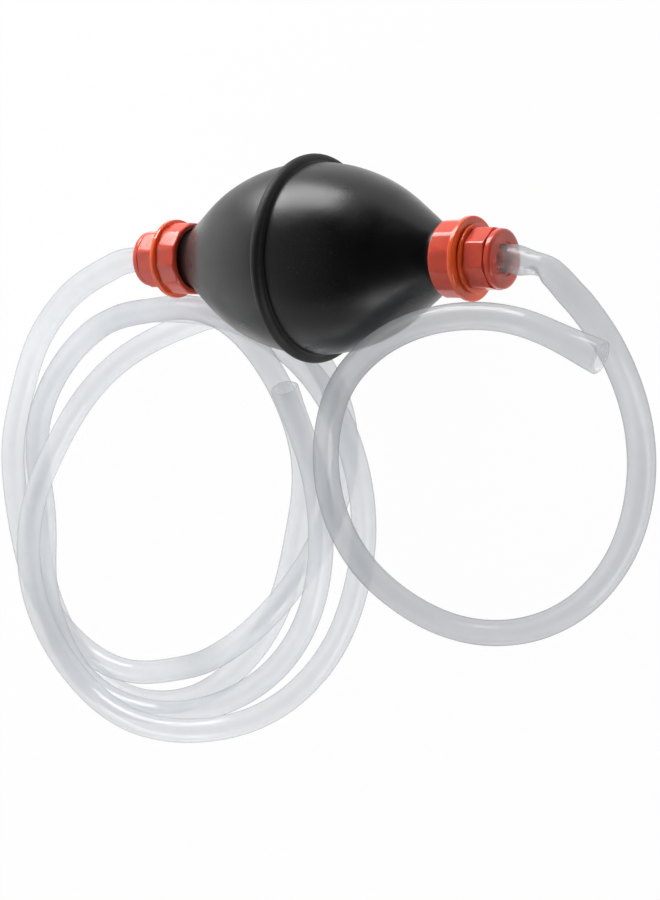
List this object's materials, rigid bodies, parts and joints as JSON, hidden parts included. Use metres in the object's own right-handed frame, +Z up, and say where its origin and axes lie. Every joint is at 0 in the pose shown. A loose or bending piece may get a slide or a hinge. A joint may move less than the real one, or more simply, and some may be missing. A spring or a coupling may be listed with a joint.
{
  "type": "squeeze-bulb siphon",
  "caption": "Hand siphon for an aquarium: rubber squeeze bulb with a screw fitting and ball check valve at each end, a short clear suction hose and a long clear drain hose in a loose coil.",
  "frame": {"origin": "on the floor under the middle of the bulb", "axes": "+X along the bulb's axis from the long hose's end to the short hose's end, +Z up"},
  "size_m": [0.3807, 0.2879, 0.095],
  "materials": {
    "rubber": "satin black moulded rubber",
    "orange_plastic": "glossy orange-red moulded plastic",
    "white_plastic": "plain moulded plastic inside the fittings",
    "gasket_rubber": "matt rubber washer",
    "clear_hose": "clear flexible vinyl with a faint blue tint"
  },
  "bodies": {
    "siphon": {"bulb_inlet_half": "rubber", "bulb_outlet_half": "rubber", "inlet_collar": "orange_plastic", "inlet_gasket": "gasket_rubber", "inlet_body": "orange_plastic", "inlet_cage": "white_plastic", "outlet_collar": "orange_plastic", "outlet_gasket": "gasket_rubber", "outlet_body": "orange_plastic", "outlet_seat": "white_plastic", "short_hose_start": "clear_hose", "short_hose_loop": "clear_hose", "short_hose_end": "clear_hose", "long_hose_start": "clear_hose", "long_hose_lead": "clear_hose", "long_hose_coil": "clear_hose", "long_hose_end": "clear_hose"},
    "inlet_valve_ball": {"inlet_ball": "white_plastic"},
    "inlet_clamp": {"inlet_clamp_ring": "white_plastic"},
    "inlet_hose_nut": {"inlet_nut": "orange_plastic"},
    "outlet_valve_ball": {"outlet_ball": "white_plastic"},
    "outlet_clamp": {"outlet_clamp_ring": "white_plastic"},
    "outlet_hose_nut": {"outlet_nut": "orange_plastic"}
  },
  "joints": [
    {"name": "inlet_ball_lift", "type": "slide", "parent": "siphon", "child": "inlet_valve_ball", "axis": [-1, 0, 0], "range_m": [0, 0.003]},
    {"name": "outlet_ball_lift", "type": "slide", "parent": "siphon", "child": "outlet_valve_ball", "axis": [-1, 0, 0], "range_m": [0, 0.003]},
    {"name": "inlet_nut_travel", "type": "slide", "parent": "siphon", "child": "inlet_clamp", "axis": [1, 0, 0], "range_m": [0, 0.003]},
    {"name": "inlet_nut_turn", "type": "hinge", "parent": "inlet_clamp", "child": "inlet_hose_nut", "pos_m": [0.0938, 0, 0.0475], "axis": [1, 0, 0], "range_deg": [0, 540]},
    {"name": "outlet_nut_travel", "type": "slide", "parent": "siphon", "child": "outlet_clamp", "axis": [-1, 0, 0], "range_m": [0, 0.003]},
    {"name": "outlet_nut_turn", "type": "hinge", "parent": "outlet_clamp", "child": "outlet_hose_nut", "pos_m": [-0.0938, 0, 0.0475], "axis": [-1, 0, 0], "range_deg": [0, 540]}
  ],
  "couplings": [
    {"joint": "inlet_nut_travel", "follows": "inlet_nut_turn", "m_per_rad": 0.000318},
    {"joint": "outlet_nut_travel", "follows": "outlet_nut_turn", "m_per_rad": 0.000318}
  ]
}
